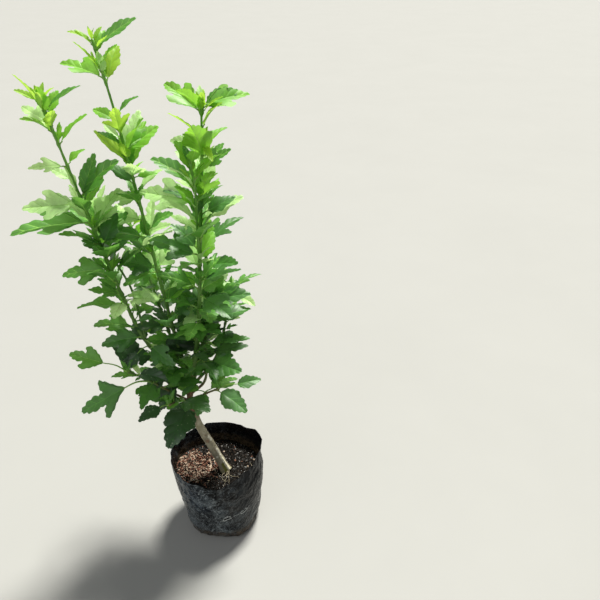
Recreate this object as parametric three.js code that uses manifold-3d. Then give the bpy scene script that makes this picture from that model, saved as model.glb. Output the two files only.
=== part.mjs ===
// A young hibiscus shrub in its black nursery bag, in millimetres, +Z up.
// The origin is on the bag's flat underside. X runs along the shrub's widest spread and Y from front to back.
import * as THREE from 'three';
import { mergeVertices } from 'three/addons/utils/BufferGeometryUtils.js';
import Module from 'manifold-3d';

const wasm = await Module();
wasm.setup();

// Driving dimensions
const GAP = 0.4; // clearance between neighbouring pieces
const BAG = {
  height: 169,
  outline: [[0, 64], [3, 70], [12, 74], [90, 85], [130, 89], [169, 92]], // height, outer radius
  footShift: 9, // the foot stands this far along +X from the rim's centre
  wall: 2,
  floor: 3,
  segments: 28,
  rimWave: 3,
  leanFrom: 130, // above this height the film leans in or out, fully at the rim
  lean: [[-180, 0], [-123, -3], [-100, 0], [-83, 4], [-63, -5], [-43, -11], [-3, -9], [29, 4], [40, 6],
    [59, 2], [85, -1], [108, 2], [150, 0], [180, 0]], // degrees round the rim, how far out
};
const SOIL = { level: 124, clear: 2.8, collar: 22, ripple: 2, mound: 14, moundTowards: [-0.9, -0.45] };
const TRUNK = {
  path: [[17, 0, 124], [-10, 0, 195], [-34, 0, 262], [-39, 0, 303], [-35, 0, 350]],
  radii: [[0, 10.8], [0.06, 9.4], [0.16, 8.6], [0.55, 8], [0.62, 8.8], [0.7, 6.2], [0.9, 5.6], [1, 6.6]],
  sides: 11,
  steps: 13,
  buried: 12, // its path runs on this far below the cut
};
const LONG_SHOOT = 300;
const LEAF = { arms: 5, cleft: 0.4, waist: 0.26, uneven: 0.24, droop: 0.2, crest: 12 };

// Every shoot: its path from where it leaves the wood that carries it, its radius at both ends, and its masses
// of leaves. A mass sits between two fractions of the path. It has tiers of arms that reach `reach` from the
// stem, and `tips` are the furthest leaf tips in it.
const SHOOTS = [
  {
    name: 'far_left_stem',
    path: [[-36, 0, 341], [-99, -7, 433], [-135, -16, 568], [-158, -24, 690], [-188, -40, 866]],
    radii: [4, 1.8],
    masses: [
      { name: 'far_left_leaves_low', from: 0.24, to: 0.4, tiers: 3, reach: 70, rise: 8, start: 200,
        tips: [[-180, -36, 470]] },
      { name: 'far_left_leaves_middle', from: 0.44, to: 0.57, tiers: 3, reach: 76, rise: 16, start: 20,
        tips: [[-209, -30, 576]] },
      { name: 'far_left_leaves_upper', from: 0.62, to: 0.79, tiers: 3, reach: 80, rise: 24, start: 75,
        tips: [[-283, -24, 672], [-240, -70, 694]] },
      { name: 'far_left_leaves_top', from: 0.87, to: 1, tiers: 2, reach: 56, rise: 34, start: 60,
        tips: [[-222, -52, 866], [-127, -40, 872], [-190, -42, 886]] },
    ],
  },
  {
    name: 'mid_left_stem',
    path: [[-36, 0, 341], [-57, 10, 458], [-85, 29, 640], [-114, 47, 827], [-135, 60, 926]],
    radii: [4, 1.8],
    masses: [
      { name: 'mid_left_leaves_low', from: 0.2, to: 0.34, tiers: 3, reach: 82, rise: 10, start: 80, tips: [] },
      { name: 'mid_left_leaves_middle', from: 0.38, to: 0.52, tiers: 3, reach: 82, rise: 16, start: 140,
        tips: [] },
      { name: 'mid_left_leaves_upper', from: 0.56, to: 0.76, tiers: 3, reach: 74, rise: 26, start: 330,
        tips: [[-56, 20, 782]] },
      { name: 'mid_left_leaves_top', from: 0.89, to: 1, tiers: 2, reach: 54, rise: 34, start: 110,
        tips: [[-185, 42, 898], [-57, 60, 945], [-138, 62, 946]] },
    ],
  },
  {
    name: 'centre_stem',
    path: [[-33, 0, 346], [-9, -4, 471], [7, -9, 623], [23, -16, 772], [29, -20, 852]],
    radii: [4.6, 1.8],
    masses: [
      { name: 'centre_leaves_low', from: 0.24, to: 0.42, tiers: 3, reach: 76, rise: 10, start: 300, tips: [] },
      { name: 'centre_leaves_middle', from: 0.46, to: 0.62, tiers: 3, reach: 78, rise: 18, start: 190,
        tips: [[-76, -34, 640]] },
      { name: 'centre_leaves_upper', from: 0.66, to: 0.86, tiers: 3, reach: 76, rise: 26, start: 20,
        tips: [[-62, -30, 744]] },
      { name: 'centre_leaves_top', from: 0.9, to: 1, tiers: 2, reach: 54, rise: 34, start: 250,
        tips: [[-32, -30, 876], [98, -20, 858], [84, 30, 862]] },
    ],
  },
  {
    name: 'back_stem',
    path: [[-31, 2, 341], [-9, 26, 418], [1, 66, 550], [7, 120, 735]],
    radii: [4, 1.8],
    masses: [
      { name: 'back_leaves_low', from: 0.26, to: 0.44, tiers: 3, reach: 84, rise: 6, start: 60, tips: [] },
      { name: 'back_leaves_middle', from: 0.5, to: 0.7, tiers: 3, reach: 82, rise: 16, start: 100,
        tips: [[30, 176, 604]] },
      { name: 'back_leaves_top', from: 0.8, to: 1, tiers: 3, reach: 66, rise: 30, start: 30,
        tips: [[4, 128, 758]] },
    ],
  },
  {
    name: 'right_short_stem',
    path: [[-37, 0, 318], [-10, 6, 343], [-3, 16, 415], [2, 32, 505]],
    radii: [3.2, 1.7],
    masses: [
      { name: 'right_short_leaves', from: 0.5, to: 1, tiers: 3, reach: 74, rise: 16, start: 10,
        tips: [[88, 8, 516]] },
    ],
  },
  {
    name: 'right_back_shoot',
    path: [[-34, 2, 334], [8, 24, 378], [28, 50, 434], [40, 80, 500]],
    radii: [3.4, 1.7],
    masses: [
      { name: 'right_back_leaves', from: 0.42, to: 1, tiers: 3, reach: 62, rise: 14, start: 50,
        tips: [[86, 60, 520]] },
    ],
  },
  {
    name: 'left_back_shoot',
    path: [[-38, 2, 338], [-66, 28, 420], [-92, 60, 490], [-138, 118, 612]],
    radii: [3.6, 1.8],
    masses: [
      { name: 'left_back_leaves_low', from: 0.34, to: 0.6, tiers: 3, reach: 80, rise: 8, start: 130, tips: [] },
      { name: 'left_back_leaves_top', from: 0.7, to: 1, tiers: 3, reach: 72, rise: 24, start: 100,
        tips: [[-196, 152, 616]] },
    ],
  },
  {
    name: 'left_side_shoot',
    path: [[-103, -8, 452], [-117, 2, 542], [-148, 12, 609], [-164, 20, 664]],
    radii: [2.6, 1.6],
    masses: [
      { name: 'left_side_leaves', from: 0.62, to: 1, tiers: 3, reach: 62, rise: 28, start: 10, tips: [] },
    ],
  },
  {
    name: 'centre_side_shoot',
    path: [[5, -9, 590], [7, -22, 650], [13, -40, 730], [11, -50, 776]],
    radii: [2.5, 1.6],
    masses: [
      { name: 'centre_side_leaves', from: 0.5, to: 1, tiers: 2, reach: 52, rise: 30, start: 270, tips: [] },
    ],
  },
  {
    name: 'low_left_shoot',
    path: [[-40, 0, 300], [-72, -18, 340], [-106, -40, 386], [-128, -54, 410]],
    radii: [2.9, 1.7],
    masses: [
      { name: 'low_left_leaves', from: 0.45, to: 1, tiers: 3, reach: 78, rise: 2, start: 240,
        tips: [[-214, -80, 346], [-196, -70, 464]] },
    ],
  },
  {
    name: 'low_front_shoot',
    path: [[-37, 0, 292], [-50, -20, 318], [-66, -56, 338]],
    radii: [2.8, 1.7],
    masses: [
      { name: 'low_front_leaves', from: 0.4, to: 1, tiers: 3, reach: 74, rise: -6, start: 190,
        tips: [[-64, -66, 262]] },
    ],
  },
  {
    name: 'low_right_shoot',
    path: [[-37, 0, 300], [-4, -18, 334], [22, -32, 356]],
    radii: [2.8, 1.7],
    masses: [
      { name: 'low_right_leaves', from: 0.4, to: 1, tiers: 3, reach: 68, rise: -8, start: 300,
        tips: [[74, -10, 304]] },
    ],
  },
];

const FINISH = {
  bag: new THREE.MeshStandardMaterial({ color: 0x23272a, roughness: 0.5, metalness: 0 }),
  soil: new THREE.MeshStandardMaterial({ color: 0x40322b, roughness: 1, metalness: 0 }),
  bark: new THREE.MeshStandardMaterial({ color: 0x8c8275, roughness: 0.9, metalness: 0 }),
  greenWood: new THREE.MeshStandardMaterial({ color: 0x55803a, roughness: 0.7, metalness: 0 }),
  leaf: new THREE.MeshStandardMaterial({ color: 0x3f8f2c, roughness: 0.55, metalness: 0 }),
};

const UP = new THREE.Vector3(0, 0, 1);
const ACROSS = new THREE.Vector3(0, 1, 0);
const FULL_TURN = 2 * Math.PI;
const { degToRad: radians, radToDeg: degrees } = THREE.MathUtils;
const vector = ([x, y, z]) => new THREE.Vector3(x, y, z);

// The value at t on straight lines between [t, value] stops.
function between(stops, t) {
  const next = stops.findIndex(([at]) => at >= t);
  if (next <= 0) return stops[next === 0 ? 0 : stops.length - 1][1];
  const [[t0, v0], [t1, v1]] = stops.slice(next - 1, next + 1);
  return v0 + ((v1 - v0) * (t - t0)) / (t1 - t0);
}

// A shape with its shared vertices merged, each moved to where place(vertex) says.
function shaped(geometry, place) {
  geometry.deleteAttribute('normal');
  geometry.deleteAttribute('uv');
  const merged = mergeVertices(geometry, 1e-5);
  const at = merged.getAttribute('position');
  const vertex = new THREE.Vector3();
  for (let i = 0; i < at.count; i++) {
    vertex.fromBufferAttribute(at, i);
    const { x, y, z } = place(vertex.clone());
    at.setXYZ(i, x, y, z);
  }
  return merged;
}

function solid(geometry) {
  return new wasm.Manifold(new wasm.Mesh({
    numProp: 3,
    vertProperties: new Float32Array(geometry.getAttribute('position').array),
    triVerts: new Uint32Array(geometry.index.array),
  }));
}

function geometryOf(body) {
  const { vertProperties, triVerts } = body.getMesh();
  const geometry = new THREE.BufferGeometry();
  geometry.setAttribute('position', new THREE.BufferAttribute(new Float32Array(vertProperties), 3));
  geometry.setIndex(new THREE.BufferAttribute(new Uint32Array(triVerts), 1));
  geometry.computeVertexNormals();
  return geometry;
}

const curveOf = (path) => new THREE.CatmullRomCurve3(path.map(vector), false, 'centripetal');

// The point at a fraction of the curve's length, running straight on past either end.
function along(curve, t) {
  const held = THREE.MathUtils.clamp(t, 0, 1);
  const past = (t - held) * curve.getLength();
  return curve.getPointAt(held).addScaledVector(curve.getTangentAt(held), past);
}

// A round limb along the curve between two fractions, with its radius at t from 0 to 1 on the way.
function limb(curve, { from = 0, to = 1, radiusAt, sides, steps, grow = 0 }) {
  const spare = grow / curve.getLength();
  return shaped(new THREE.CylinderGeometry(1, 1, 1, sides, steps), ({ x, y, z }) => {
    const t = y + 0.5;
    const at = from - spare + (to - from + 2 * spare) * t;
    const tangent = curve.getTangentAt(THREE.MathUtils.clamp(at, 0, 1));
    const side = new THREE.Vector3().crossVectors(ACROSS, tangent).normalize();
    const other = new THREE.Vector3().crossVectors(side, tangent);
    const radius = radiusAt(t) + grow;
    return along(curve, at).addScaledVector(side, radius * x).addScaledVector(other, radius * z);
  });
}

// One mass of leaves: tiers of leafy arms round a stem, each arm a thin pointed lobe that rises and then bends
// down. Rings of the sphere are by turns a tier of arm tips and a waist. In a tier every other vertex is a tip
// and the rest are the clefts between arms. A listed tip takes the place of the arm that points most nearly
// its way.
function mass(curve, { from, to, tiers, reach, rise, start, tips }) {
  const rings = 2 * tiers;
  const segments = 2 * LEAF.arms;
  const top = to + (to === 1 ? LEAF.crest / curve.getLength() : 0);
  const turn = radians(start);
  const armAt = (ring, segment) => {
    const tier = ring % 2 === 1;
    const isTip = tier && (segment + (ring - 1) / 2) % 2 === 0;
    const uneven = 1 - LEAF.uneven * (0.5 + 0.5 * Math.sin(7.3 * segment + 4.1 * ring + start));
    const length = reach * (isTip ? uneven : tier ? LEAF.cleft : LEAF.waist);
    const azimuth = turn + (segment / segments) * FULL_TURN;
    const base = along(curve, from + (top - from) * (1 - ring / rings));
    const lift = length * Math.sin(radians(rise)) - (LEAF.droop * length * length) / reach;
    const reached = new THREE.Vector3(Math.cos(azimuth) * length, Math.sin(azimuth) * length, lift);
    return { isTip, point: base.add(reached) };
  };
  const arms = [];
  for (let ring = 1; ring < rings; ring += 2) {
    for (let segment = 0; segment < segments; segment++) {
      arms.push({ ring, segment, ...armAt(ring, segment) });
    }
  }
  const key = (ring, segment) => `${ring} ${segment}`;
  const moved = new Map();
  for (const tip of tips.map(vector)) {
    const free = arms.filter((arm) => arm.isTip && !moved.has(key(arm.ring, arm.segment)));
    const nearest = free.sort((a, b) => a.point.distanceTo(tip) - b.point.distanceTo(tip))[0];
    moved.set(key(nearest.ring, nearest.segment), tip);
  }
  return solid(shaped(new THREE.SphereGeometry(1, segments, rings), ({ x, y, z }) => {
    const ring = Math.round((Math.acos(THREE.MathUtils.clamp(y, -1, 1)) / Math.PI) * rings);
    if (ring === 0) return along(curve, top);
    if (ring === rings) return along(curve, from);
    const segment = (Math.round((Math.atan2(-z, x) / FULL_TURN) * segments) + segments) % segments;
    return moved.get(key(ring, segment)) ?? armAt(ring, segment).point;
  }));
}

// The bag's plan: a point at a radius and angle, shifted towards the foot. Near the rim the film waves and leans.
function bagPoint(radius, angle, z) {
  const height = z / BAG.height;
  const wave = 0.012 * Math.sin(3 * angle + 1) + 0.009 * Math.sin(5 * angle) * height;
  const leaning = Math.max(0, (z - BAG.leanFrom) / (BAG.height - BAG.leanFrom));
  const wide = radius * (1 + wave * height) + leaning * between(BAG.lean, degrees(angle));
  return { x: BAG.footShift * (1 - height) + wide * Math.cos(angle), y: wide * Math.sin(angle) };
}

// A turned shape set into the bag's plan, with its heights moved by lift(x, y, z, radius).
function turned(profile, lift) {
  const points = profile.map(([r, z]) => new THREE.Vector2(r, z));
  return solid(shaped(new THREE.LatheGeometry(points, BAG.segments), ({ x, y, z }) => {
    const radius = Math.hypot(x, z);
    const plan = bagPoint(radius, Math.atan2(-z, x), y);
    return { ...plan, z: y + lift(plan.x, plan.y, y, radius) };
  }));
}

function bag() {
  const outer = BAG.outline.map(([z, radius]) => [radius, z]);
  const walls = BAG.outline.filter(([z]) => z > BAG.floor).reverse();
  const inner = walls.map(([z, radius]) => [radius - BAG.wall, z]);
  const floor = [[between(BAG.outline, 0) - BAG.wall, BAG.floor], [0, BAG.floor]];
  const loose = BAG.height / 2; // the film is slack above this height
  return turned([[0, 0], ...outer, ...inner, ...floor], (x, y, z) => {
    const angle = Math.atan2(y, x);
    const slack = Math.max(0, (z - loose) / (BAG.height - loose)) ** 2;
    return BAG.rimWave * slack * (Math.sin(2 * angle + 0.7) + 0.6 * Math.sin(5 * angle));
  });
}

// The soil fills the bag up to its level. It is flat in a collar round the trunk and mounded on one side.
function soil() {
  const floor = BAG.floor + GAP;
  const floorRadius = between(BAG.outline, 0) - SOIL.clear;
  const side = [12, 90, SOIL.level].map((z) => [between(BAG.outline, z) - SOIL.clear, z]);
  const top = [55, SOIL.collar].map((radius) => [radius, SOIL.level]);
  const [towardsX, towardsY] = SOIL.moundTowards;
  return turned([[0, floor], [floorRadius, floor], ...side, ...top, [0, SOIL.level]], (x, y, z, radius) => {
    if (z < SOIL.level || radius <= SOIL.collar) return 0;
    const towards = Math.max(0, x * towardsX + y * towardsY) / side[2][0];
    const away = (radius - SOIL.collar) / (side[2][0] - SOIL.collar);
    return away * (SOIL.mound * towards - SOIL.ripple * (1 - Math.sin(0.09 * x + 1) * Math.cos(0.08 * y)));
  });
}

// The trunk leans from a flat cut on the soil up to the fork.
function trunk(curve, grow = 0) {
  const { radii, sides, steps, buried } = TRUNK;
  const from = -buried / curve.getLength();
  const leaning = solid(limb(curve, { from, radiusAt: (t) => between(radii, t), sides, steps, grow }));
  return leaning.trimByPlane(UP.toArray(), SOIL.level + GAP - grow);
}

const overlap = (a, b) => [0, 1, 2].every((i) => a.min[i] < b.max[i] && b.min[i] < a.max[i]);

const largest = (body) => body.decompose().sort((a, b) => b.volume() - a.volume())[0];

// What is left of a body once it is cut clear of the grown wood: its largest piece.
function cutClear(body, grownWood) {
  const near = grownWood.filter((wood) => overlap(body.boundingBox(), wood.boundingBox()));
  return largest(near.reduce((left, wood) => left.subtract(wood), body).simplify(0.02));
}

// Two masses that run into each other are both trimmed by a plane between them, which leaves a gap.
const middleOf = ({ min, max }) => vector(min).add(vector(max)).multiplyScalar(0.5);
function keepApart(one, other) {
  const shared = one.body.intersect(other.body);
  if (shared.isEmpty()) return;
  const normal = middleOf(other.body.boundingBox()).sub(middleOf(one.body.boundingBox())).normalize();
  const offset = normal.dot(middleOf(shared.boundingBox()));
  one.body = largest(one.body.trimByPlane(normal.clone().negate().toArray(), GAP / 2 - offset));
  other.body = largest(other.body.trimByPlane(normal.toArray(), GAP / 2 + offset));
}

// A named mesh in its group, with its own origin at a point of the object.
function place(parent, name, body, material, at = new THREE.Vector3()) {
  const mesh = new THREE.Mesh(geometryOf(body.translate(at.clone().negate().toArray())), material);
  mesh.name = name;
  mesh.position.copy(at);
  parent.add(mesh);
}

const pot = new THREE.Group();
place(pot, 'bag', bag(), FINISH.bag);
place(pot, 'soil', soil(), FINISH.soil, new THREE.Vector3(0, 0, SOIL.level));

const plant = new THREE.Group();
const trunkCurve = curveOf(TRUNK.path);
place(plant, 'trunk', trunk(trunkCurve), FINISH.bark, trunkCurve.getPointAt(0));

// Stems, each cut clear of the trunk and of the stems before it
const grownWood = [trunk(trunkCurve, GAP)];
for (const shoot of SHOOTS) {
  shoot.curve = curveOf(shoot.path);
  shoot.group = new THREE.Group();
  plant.add(shoot.group);
  const [first, last] = shoot.radii;
  const steps = shoot.curve.getLength() > LONG_SHOOT ? 9 : 5;
  const shape = { radiusAt: (t) => first + (last - first) * t, sides: 6, steps };
  const body = cutClear(solid(limb(shoot.curve, shape)), grownWood);
  place(shoot.group, shoot.name, body, FINISH.greenWood, shoot.curve.getPointAt(0));
  grownWood.push(solid(limb(shoot.curve, { ...shape, grow: GAP })));
}

// Masses of leaves, kept apart from each other and cut round every stem
const masses = SHOOTS.flatMap(({ curve, group, masses: list }) => list.map((piece) => ({
  name: piece.name, group, at: curve.getPointAt((piece.from + piece.to) / 2), body: mass(curve, piece),
})));
masses.forEach((one, i) => masses.slice(i + 1).forEach((other) => keepApart(one, other)));
for (const { name, group, at, body } of masses) place(group, name, cutClear(body, grownWood), FINISH.leaf, at);

const shrub = new THREE.Group();
shrub.add(pot, plant);

export default shrub;
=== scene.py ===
"""The looks of a young hibiscus shrub that stands in its black nursery bag.

Lengths are in millimetres and angles in degrees, up to the point where Blender or a sine takes them. +Z is
up, X runs along the shrub's widest spread, and Y runs from front to back.
"""
import itertools
import math

import bpy
import numpy as np
from mathutils import Euler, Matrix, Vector, noise


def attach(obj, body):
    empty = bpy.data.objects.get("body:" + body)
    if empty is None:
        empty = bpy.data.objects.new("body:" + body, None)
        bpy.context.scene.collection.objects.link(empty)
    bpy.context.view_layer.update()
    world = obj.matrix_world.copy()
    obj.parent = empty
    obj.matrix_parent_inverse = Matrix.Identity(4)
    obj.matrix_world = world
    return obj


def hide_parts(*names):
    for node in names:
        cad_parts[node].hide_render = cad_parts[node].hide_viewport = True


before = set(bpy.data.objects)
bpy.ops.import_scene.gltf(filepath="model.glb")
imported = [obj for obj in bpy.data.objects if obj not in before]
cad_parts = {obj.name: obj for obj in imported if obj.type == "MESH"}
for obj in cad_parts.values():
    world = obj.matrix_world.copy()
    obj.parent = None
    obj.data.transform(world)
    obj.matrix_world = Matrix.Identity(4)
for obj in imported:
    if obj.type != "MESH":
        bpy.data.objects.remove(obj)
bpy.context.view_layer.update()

MM = 0.001
SEED = 7
FULL_TURN = 2 * math.pi

# The camera stands and looks as the photograph's did
CAMERA_PLACE = (166.7, -898.4, 1050)
CAMERA_PITCH = 30.5
CAMERA_ANGLE = 52
FLOOR_REACH = 20000

# The bag
BAG_HEIGHT = 169
BAG_OUTLINE = [(0, 64), (3, 70), (12, 74), (90, 85), (130, 89), (169, 92)]  # height, outer radius
BAG_RADIUS = 82  # at the torn holes, for laying the film out flat
FOOT_SHIFT = 9  # the foot stands this far along +X from the rim's centre
FOOT_CORNER = 218  # the tucked foot has a corner here and at every quarter turn from it
FILM = 0.8  # the film is drawn this thick, so that its cut rim shows
FILM_INSET = 1.2  # the film lies this far inside the outline, before its relief
RIM_WAVE = 3
LEAN_FROM = 130  # above this height the film leans in or out, fully at the rim
RIM_LEAN = [  # degrees round the rim, how far out
    (-180, 0), (-123, -3), (-100, 0), (-83, 4), (-63, -5), (-43, -11), (-3, -9), (29, 4), (40, 6), (59, 2),
    (85, -1), (108, 2), (150, 0), (180, 0),
]

# Marks on the film: torn punched holes and the crease that joins them, and last a bluish patch that is no
# mark but a painted reflection of the sky. Each is a line between two places, given as degrees round the bag
# and height.
TEARS = [((-80, 69.5), (-73, 72)), ((-54, 76.5), (-49, 78.5)), ((-148, 84), (-145, 88))]
SEAMS = [
    ((-86, 67), (-73, 72)), ((-73, 72), (-62, 74.5)), ((-62, 74.5), (-49, 78.5)), ((-49, 78.5), (-43, 82)),
]
PAINTED_SHEEN = [((-124, 142), (-114, 112))]
SLANT = np.array(Euler((0.5, 0.7, 0)).to_matrix())  # the way that the film's creases run

# The soil
SOIL_LEVEL = 124
SOIL_CENTRE = 2.4  # the bag's centre line stands this far along +X at that level
SOIL_GAP = 2.2  # from the bag's outline in to the soil
SOIL_COLLAR = 22
SOIL_RIPPLE = 2
SOIL_MOUND = 14
MOUND_TOWARDS = (-0.9, -0.45)
CHIPS_CENTRE = (-44, 5)
TRUNK_CLEAR = 12  # no lump lies nearer to the trunk's foot

# The trunk: its path, and its radius at fractions of the path
TRUNK_PATH = [(17, 0, 124), (-10, 0, 195), (-34, 0, 262), (-39, 0, 303), (-35, 0, 350)]
TRUNK_RADII = [
    (0, 10.8), (0.06, 9.4), (0.16, 8.6), (0.55, 8), (0.62, 8.8), (0.7, 6.2), (0.9, 5.6), (1, 6.6),
]
KNOTS = [  # fraction of the path, degrees round it, height
    (0.62, 200, 2.4), (0.66, 20, 2.6), (0.74, 120, 2), (0.8, 300, 2), (0.9, 210, 1.6),
]

# Marks on the trunk. The long healed wound on the right of its foot is green inside and has a pale lip.
WOUND = ((20.5, -9.5, 126), (13.5, -8, 145))
WOUND_LIP = ((25, -5, 127), (9.4, -4, 165))
PALE_SCARS = [((8, -3, 168), (2, -3, 184)), ((3, -7, 164), (3, -7, 166)), ((-8, -3, 206), (-12, -3, 216))]
RED_PATCH = (-13, -9, 207)
STUB = (-30, -3, 244)  # a yellowed stump of a cut shoot

# The leaves
GOLDEN_ANGLE = 137.5  # from one leaf to the next round a stem
TALL_SHOOT = 250  # a shoot longer than this has short spurs at its foot and a fuller tuft at its tip
LEAF_SPACING = 12
CLEAR_ALONG = 14  # the seeded rule leaves out a leaf this near to a chosen one, along the stem and round it
CLEAR_ROUND = 40
RULE_FACE = 10  # how far the upper side of a leaf turns to the front, when the seeded rule placed it
TUFT_FACE = 22  # the same, in the tuft at a shoot's tip
CHOSEN_FACE = 34  # the same, for a leaf of CHOSEN_LEAVES
CROWN_TOP = 800  # leaves are youngest above this height, and grow older down the next CROWN_DEPTH
CROWN_DEPTH = 480
STEM_SLIMNESS = 0.86  # the wood's radius, as a share of the radius that the leaves stand out from
LARGE_LEAF = 30  # a longer blade has more faces
SLENDER_LEAF = 46  # a slender leaf is at least this long

# Every shoot: its radius at both ends, its path, and its masses of leaves by the end of their names, each
# with the fractions of the path that it fills and how far its leaves reach
SHOOTS = {
    "far_left_stem": (
        (4, 1.8), [(-36, 0, 341), (-99, -7, 433), (-135, -16, 568), (-158, -24, 690), (-188, -40, 866)],
        {"_low": (0.24, 0.4, 70), "_middle": (0.44, 0.57, 76),
         "_upper": (0.62, 0.79, 80), "_top": (0.87, 1, 56)},
    ),
    "mid_left_stem": (
        (4, 1.8), [(-36, 0, 341), (-57, 10, 458), (-85, 29, 640), (-114, 47, 827), (-135, 60, 926)],
        {"_low": (0.2, 0.34, 82), "_middle": (0.38, 0.52, 82),
         "_upper": (0.56, 0.76, 74), "_top": (0.89, 1, 54)},
    ),
    "centre_stem": (
        (4.6, 1.8), [(-33, 0, 346), (-9, -4, 471), (7, -9, 623), (23, -16, 772), (29, -20, 852)],
        {"_low": (0.24, 0.42, 76), "_middle": (0.46, 0.62, 78),
         "_upper": (0.66, 0.86, 76), "_top": (0.9, 1, 54)},
    ),
    "back_stem": (
        (4, 1.8), [(-31, 2, 341), (-9, 26, 418), (1, 66, 550), (7, 120, 735)],
        {"_low": (0.26, 0.44, 84), "_middle": (0.5, 0.7, 82), "_top": (0.8, 1, 66)},
    ),
    "right_short_stem": (
        (3.2, 1.7), [(-37, 0, 318), (-10, 6, 343), (-3, 16, 415), (2, 32, 505)], {"": (0.5, 1, 74)},
    ),
    "right_back_shoot": (
        (3.4, 1.7), [(-34, 2, 334), (8, 24, 378), (28, 50, 434), (40, 80, 500)], {"": (0.42, 1, 62)},
    ),
    "left_back_shoot": (
        (3.6, 1.8), [(-38, 2, 338), (-66, 28, 420), (-92, 60, 490), (-138, 118, 612)],
        {"_low": (0.34, 0.6, 80), "_top": (0.7, 1, 72)},
    ),
    "left_side_shoot": (
        (2.6, 1.6), [(-103, -8, 452), (-117, 2, 542), (-148, 12, 609), (-164, 20, 664)], {"": (0.62, 1, 62)},
    ),
    "centre_side_shoot": (
        (2.5, 1.6), [(5, -9, 590), (7, -22, 650), (13, -40, 730), (11, -50, 776)], {"": (0.5, 1, 52)},
    ),
    "low_left_shoot": (
        (2.9, 1.7), [(-40, 0, 300), (-72, -18, 340), (-106, -40, 386), (-128, -54, 410)], {"": (0.45, 1, 78)},
    ),
    "low_front_shoot": ((2.8, 1.7), [(-37, 0, 292), (-50, -20, 318), (-66, -56, 338)], {"": (0.4, 1, 74)}),
    "low_right_shoot": ((2.8, 1.7), [(-37, 0, 300), (-4, -18, 334), (22, -32, 356)], {"": (0.4, 1, 68)}),
}

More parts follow.
